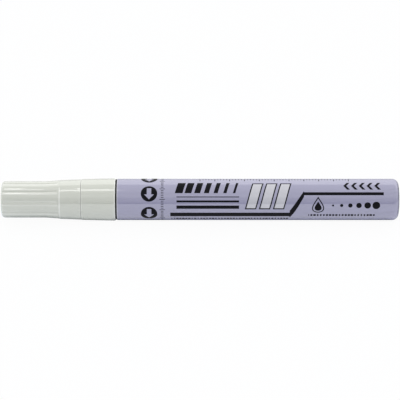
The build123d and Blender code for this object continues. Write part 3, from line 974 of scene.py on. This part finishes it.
rim_radius = (cap_high.z - cap_low.z) / 2
shoulder_radius = rim_radius - SKIRT_TAPER
flare_radius = shoulder_radius - SKIRT_STEP
grip_radius = flare_radius - FLARE_RISE
skirt_end = cap_high.x - SKIRT_LENGTH
flare_end = skirt_end - FLARE_LENGTH

# Columns crowd towards the flutes: within a flute's pitch the angle is the share less a sine of it.
share = (np.arange(FLUTE_COUNT * FLUTE_STEPS) % FLUTE_STEPS) / FLUTE_STEPS
whole = np.arange(FLUTE_COUNT * FLUTE_STEPS) // FLUTE_STEPS
crowded = share - FLUTE_CROWDING * np.sin(2 * math.pi * share) / (2 * math.pi)
cap_angles = FLUTE_FIRST + (whole + crowded) * 2 * math.pi / FLUTE_COUNT - math.pi


def fluted(x, radius, angles):
    """Radius of the fluted grip: the smaller of the plain radius and of the flared grip less its grooves.

    A groove's depth falls off beside its line by the exponential of the distance over the fade, so that its
    lips are soft. It keeps its depth up the flare and then runs out in a smooth step.
    """
    pitch = 2 * math.pi / FLUTE_COUNT
    offset = (angles[None] - FLUTE_FIRST + pitch / 2) % pitch - pitch / 2
    aside = np.hypot(offset * grip_radius, FLUTE_FLOOR) - FLUTE_FLOOR
    flare = np.clip((x[:, None] - flare_end) / FLARE_LENGTH, 0, 1) * FLARE_RISE
    left = np.clip((flare_end + FLUTE_REACH + FLUTE_RUNOUT - x[:, None]) / FLUTE_RUNOUT, 0, 1)
    groove = FLUTE_DEPTH * left**2 * (3 - 2 * left) * np.exp(-aside / FLUTE_FADE)
    return np.minimum(radius, grip_radius + flare - groove)


cap_outer = rounded([
    (cap_high.x, THREAD_BORE + RIM_ROUND),
    (cap_high.x, rim_radius, RIM_ROUND),
    (skirt_end, shoulder_radius, STEP_ROUND),
    (skirt_end, flare_radius),
    (flare_end, grip_radius),
    (cap_low.x, grip_radius, CAP_END_ROUND),
    (cap_low.x, 0),
], longest=CAP_ROW_STEP)
groove_near = bead_start + GROOVE_MARGIN
groove_far = bead_start - BEAD_WIDTH - GROOVE_MARGIN
cap_inner = rounded([
    (cap_low.x + CAP_END_WALL, 0),
    (cap_low.x + CAP_END_WALL, CAP_BORE, RIM_ROUND),
    (groove_far, CAP_BORE),
    (groove_far, GROOVE_RADIUS),
    (groove_near, GROOVE_RADIUS),
    (groove_near, CAP_BORE),
    (liner_high.x, CAP_BORE),
    (liner_high.x, THREAD_BORE),
])
thread_rows = np.arange(liner_high.x, cap_high.x, THREAD_STEP)
plain_outside = np.repeat(cap_outer[:, 1:], len(cap_angles), axis=1)
gripped = fluted(cap_outer[:, 0], plain_outside, cap_angles)
beyond_step = (cap_outer[:, 0] < skirt_end - SKIRT_STEP)[:, None]
cap_outside = np.where(beyond_step, gripped, plain_outside)
cap_start = thread_start - THREAD_PITCH / 2
ridge = thread_rise(thread_rows, cap_angles, cap_start, thread_end - THREAD_PITCH / 2)
cap_thread = THREAD_BORE - ridge * (THREAD_BORE - CAP_CREST)
cap_inside = np.repeat(cap_inner[:, 1:], len(cap_angles), axis=1)
cap_rows = np.concatenate([cap_inner[:, 0], thread_rows[1:], cap_outer[:, 0]])
cap_shape = np.concatenate([cap_inside, cap_thread[1:], cap_outside])
cap = turned_piece("screw_cap", cap_rows, cap_shape, cap_angles)


def cap_edge_highlights(place):
    """A mask of the cap's painted highlights: its open end's edge, the skirt's step but for its top, and the
    flutes' lips.
    """
    along, across, upward = place.split()
    lifted = upward - AXIS_HEIGHT * MM
    offset, _ = repeated(along.math("ARCTAN2", across, lifted), FLUTE_FIRST, 2 * math.pi / FLUTE_COUNT)
    lip_end = (flare_end + FLUTE_REACH) * MM
    from_axis = (across * across + lifted * lifted) ** 0.5
    on_side = from_axis.ramp(*(grip_radius * MM - depth for depth in LIP_DEPTHS))
    on_grip = on_side * (1 - along.ramp(lip_end, lip_end + FLUTE_RUNOUT * MM))
    # Painted highlight along the skirt's step, left off at its top, and painted highlights along the flutes'
    # lips below.
    step = near_edge(place, skirt_end, STEP_HIGHLIGHT_WIDTH) * (1 - lifted.ramp(STEP_PLAIN_START, STEP_PLAIN_END))
    pale = step | near_edge(place, cap_high.x, EDGE_HIGHLIGHT_WIDTH) * SEAM_HIGHLIGHT
    for side, painted_highlight in LIP_HIGHLIGHT.items():
        lip = 1 - abs(offset * (grip_radius * MM) - side * LIP_PLACE) / LIP_WIDTH
        pale = pale | lip * on_grip * painted_highlight
    return pale


cap_plastic = moulded_plastic("cap_plastic", cap_edge_highlights)
dressed(cap, cap_plastic, "white_plastic", "cap", "cap_shell")


# Studio: a pale paper floor, a soft sky that is dim in front and bright above and behind, two strip lamps
# over the cap, and a camera that looks down at the front. To the camera the paper is white but for a faint
# shadow, and so it is in gloss, except close under the marker.
FLOOR_HALF = 4.0
FLOOR_COLOUR = (0.86, 0.89, 0.95)
PAPER_WHITE = 0.95
SHADE_START, SHADE_END = 3.6, 6.0
floor_mesh = bpy.data.meshes.new("floor")
reach = np.array([-FLOOR_HALF, FLOOR_HALF])
floor_points = np.stack([*np.meshgrid(reach, reach), np.zeros((2, 2))], axis=-1).reshape(-1, 3)
floor_mesh.from_pydata(floor_points, [], [(0, 1, 3, 2)])
floor = bpy.data.objects.new("floor", floor_mesh)
bpy.context.scene.collection.objects.link(floor)
floor_paper, paper, place = new_finish("floor_paper")
finish_with(paper, place, Base_Color=FLOOR_COLOUR, Roughness=0.9, Specular_IOR_Level=0.0)
RAYS = ("Is Camera Ray", "Is Glossy Ray", "Is Transmission Ray")
to_camera, to_gloss, through = (place.node("LightPath", output=ray) for ray in RAYS)
glow = place.node("Emission", None, {"Color": (1.0, 1.0, 1.0), "Strength": 1.0})
clear = abs(place.split()[1]).ramp(SHADE_START, SHADE_END)
white = (to_camera | through | to_gloss * clear) * PAPER_WHITE
paper_out = floor_paper.node_tree.nodes["Material Output"]
lit = Field(floor_paper.node_tree, paper.outputs[0])
place.feed(paper_out.inputs["Surface"], place.node("MixShader", None, {0: white, 1: lit, 2: glow}))
floor_mesh.materials.append(floor_paper)

# Sky: brightness by the share of a half turn from the front horizon, over the top, to the back one.
SKY_STRENGTH = 2.14
SKY_STOPS = (
    (0.0, 0.08),
    (0.08, 0.25),
    (0.16, 0.28),
    (0.25, 0.44),
    (0.31, 0.38),
    (0.41, 0.43),
    (0.64, 0.45),
    (0.66, 0.80),
    (0.75, 0.66),
    (0.86, 0.61),
    (1.0, 0.16),
)
world = bpy.data.worlds.new("studio")
world.use_nodes = True
bpy.context.scene.world = world
sky = Field(world.node_tree)
_, back, up = sky.node("TexCoord").split()
climb = up.math("ARCTAN2", up | 0.0, -back) * (1 / math.pi)
dome = sky.node("ValToRGB", {"stops": SKY_STOPS}, {0: climb})
seen = sky.node("LightPath", output="Is Camera Ray")
background = world.node_tree.nodes["Background"]
sky.feed(background.inputs["Color"], seen.tint(dome, (1 / SKY_STRENGTH,) * 3))
sky.feed(background.inputs["Strength"], SKY_STRENGTH)

# Strip lamps: where each starts and ends along the marker, how far it is set back, and its brightness.
STRIP_HEIGHT = 1.0
STRIP_DEPTH = 0.17
STRIPS = {"long_strip": (-0.230, -0.069, -0.204, 1.75), "short_strip": (-0.162, -0.147, -0.02, 3.2)}
for name, (start, end, set_back, brightness) in STRIPS.items():
    strip_light = bpy.data.lights.new(name, "AREA")
    strip_light.shape = "RECTANGLE"
    strip_light.size, strip_light.size_y = end - start, STRIP_DEPTH
    strip_light.energy = brightness * math.pi * (end - start) * STRIP_DEPTH
    strip = bpy.data.objects.new(name, strip_light)
    strip.location = ((start + end) / 2, set_back, STRIP_HEIGHT)
    bpy.context.scene.collection.objects.link(strip)

# Camera: it looks at the middle of the marker's axis, let down a little to where the photograph has it.
VIEW_ELEVATION = math.radians(26)
VIEW_DISTANCE = 0.68
VIEW_HALF_WIDTH = 0.0677
VIEW_DROP = 0.22e-3
camera_data = bpy.data.cameras.new("camera")
camera_data.angle = 2 * math.atan(VIEW_HALF_WIDTH / VIEW_DISTANCE)
camera = bpy.data.objects.new("camera", camera_data)
camera.rotation_euler = (math.pi / 2 - VIEW_ELEVATION, 0, 0)
camera.location = (
    0,
    -VIEW_DISTANCE * math.cos(VIEW_ELEVATION) - VIEW_DROP * math.sin(VIEW_ELEVATION),
    AXIS_HEIGHT + VIEW_DISTANCE * math.sin(VIEW_ELEVATION) - VIEW_DROP * math.cos(VIEW_ELEVATION),
)
bpy.context.scene.collection.objects.link(camera)
bpy.context.scene.camera = camera
bpy.context.scene.view_settings.view_transform = "Standard"
